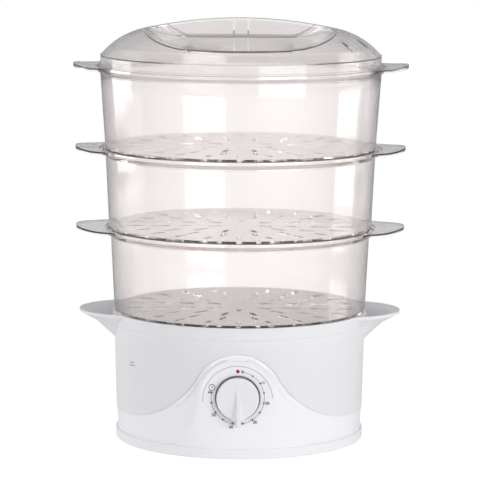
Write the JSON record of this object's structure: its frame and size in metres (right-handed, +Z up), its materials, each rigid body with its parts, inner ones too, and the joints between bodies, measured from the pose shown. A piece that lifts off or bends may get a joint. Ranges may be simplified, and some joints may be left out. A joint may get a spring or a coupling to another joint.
{
  "type": "electric food steamer",
  "caption": "Electric food steamer: timer base with a frosted water tank, drip tray, stacked clear slotted baskets with ear handles, and a clear domed lid with finger hollows.",
  "frame": {"origin": "centre of the plane that the steamer stands on, on the axis of the round stack", "axes": "+Z up, -Y to the front with the timer knob, +X to the right ear seen from the front"},
  "size_m": [0.309, 0.2681, 0.391],
  "materials": {
    "white_plastic": "gloss",
    "knob_plastic": "gloss",
    "grey_plastic": "satin",
    "frosted_plastic": "satin",
    "clear_plastic": "gloss",
    "tray_plastic": "satin",
    "dark_plastic": "satin",
    "red_lens": "gloss",
    "lamp_glass": "gloss",
    "foot_rubber": "matte",
    "bush_rubber": "matte",
    "silicone": "matte",
    "cast_aluminium": "cast",
    "plated_steel": "zinc plated",
    "timer_case": "satin",
    "block_plastic": "satin",
    "brass": "plain",
    "lead_insulation": "satin",
    "fuse_sleeve": "satin"
  },
  "bodies": {
    "base": {"base_housing": "white_plastic", "bottom_cover": "grey_plastic", "rubber_feet": "foot_rubber", "cover_screws": "plated_steel", "cord_bush": "bush_rubber", "water_tank": "frosted_plastic", "heater_plate": "cast_aluminium", "heater_seal": "silicone", "heater_clamp": "plated_steel", "clamp_screws": "plated_steel", "heating_element": "plated_steel", "thermostat": "cast_aluminium", "thermal_fuse": "fuse_sleeve", "timer_movement": "timer_case", "timer_bell": "plated_steel", "timer_screws": "plated_steel", "knob_bezel": "dark_plastic", "indicator_lens": "red_lens", "neon_lamp": "lamp_glass", "terminal_block": "block_plastic", "terminal_clamps": "brass", "internal_leads": "lead_insulation"},
    "knob": {"timer_knob": "knob_plastic", "timer_shaft": "plated_steel"},
    "turbo_ring": {"turbo_ring": "tray_plastic"},
    "drip_tray": {"drip_tray": "tray_plastic"},
    "lower_basket": {"lower_basket": "clear_plastic"},
    "middle_basket": {"middle_basket": "clear_plastic"},
    "upper_basket": {"upper_basket": "clear_plastic"},
    "lid": {"lid": "clear_plastic"}
  },
  "joints": [
    {"name": "knob_turn", "type": "hinge", "parent": "base", "child": "knob", "pos_m": [0, -0.118, 0.0583], "axis": [0, 1, 0], "range_deg": [-167.15, 102.85]},
    {"name": "turbo_ring_lift", "type": "slide", "parent": "base", "child": "turbo_ring", "axis": [0, 0, 1], "range_m": [0, 0.1]},
    {"name": "drip_tray_lift", "type": "slide", "parent": "turbo_ring", "child": "drip_tray", "axis": [0, 0, 1], "range_m": [0, 0.05]},
    {"name": "lower_basket_lift", "type": "slide", "parent": "drip_tray", "child": "lower_basket", "axis": [0, 0, 1], "range_m": [0, 0.05]},
    {"name": "middle_basket_lift", "type": "slide", "parent": "lower_basket", "child": "middle_basket", "axis": [0, 0, 1], "range_m": [0, 0.05]},
    {"name": "upper_basket_lift", "type": "slide", "parent": "middle_basket", "child": "upper_basket", "axis": [0, 0, 1], "range_m": [0, 0.05]},
    {"name": "lid_lift", "type": "slide", "parent": "upper_basket", "child": "lid", "axis": [0, 0, 1], "range_m": [0, 0.08]}
  ]
}
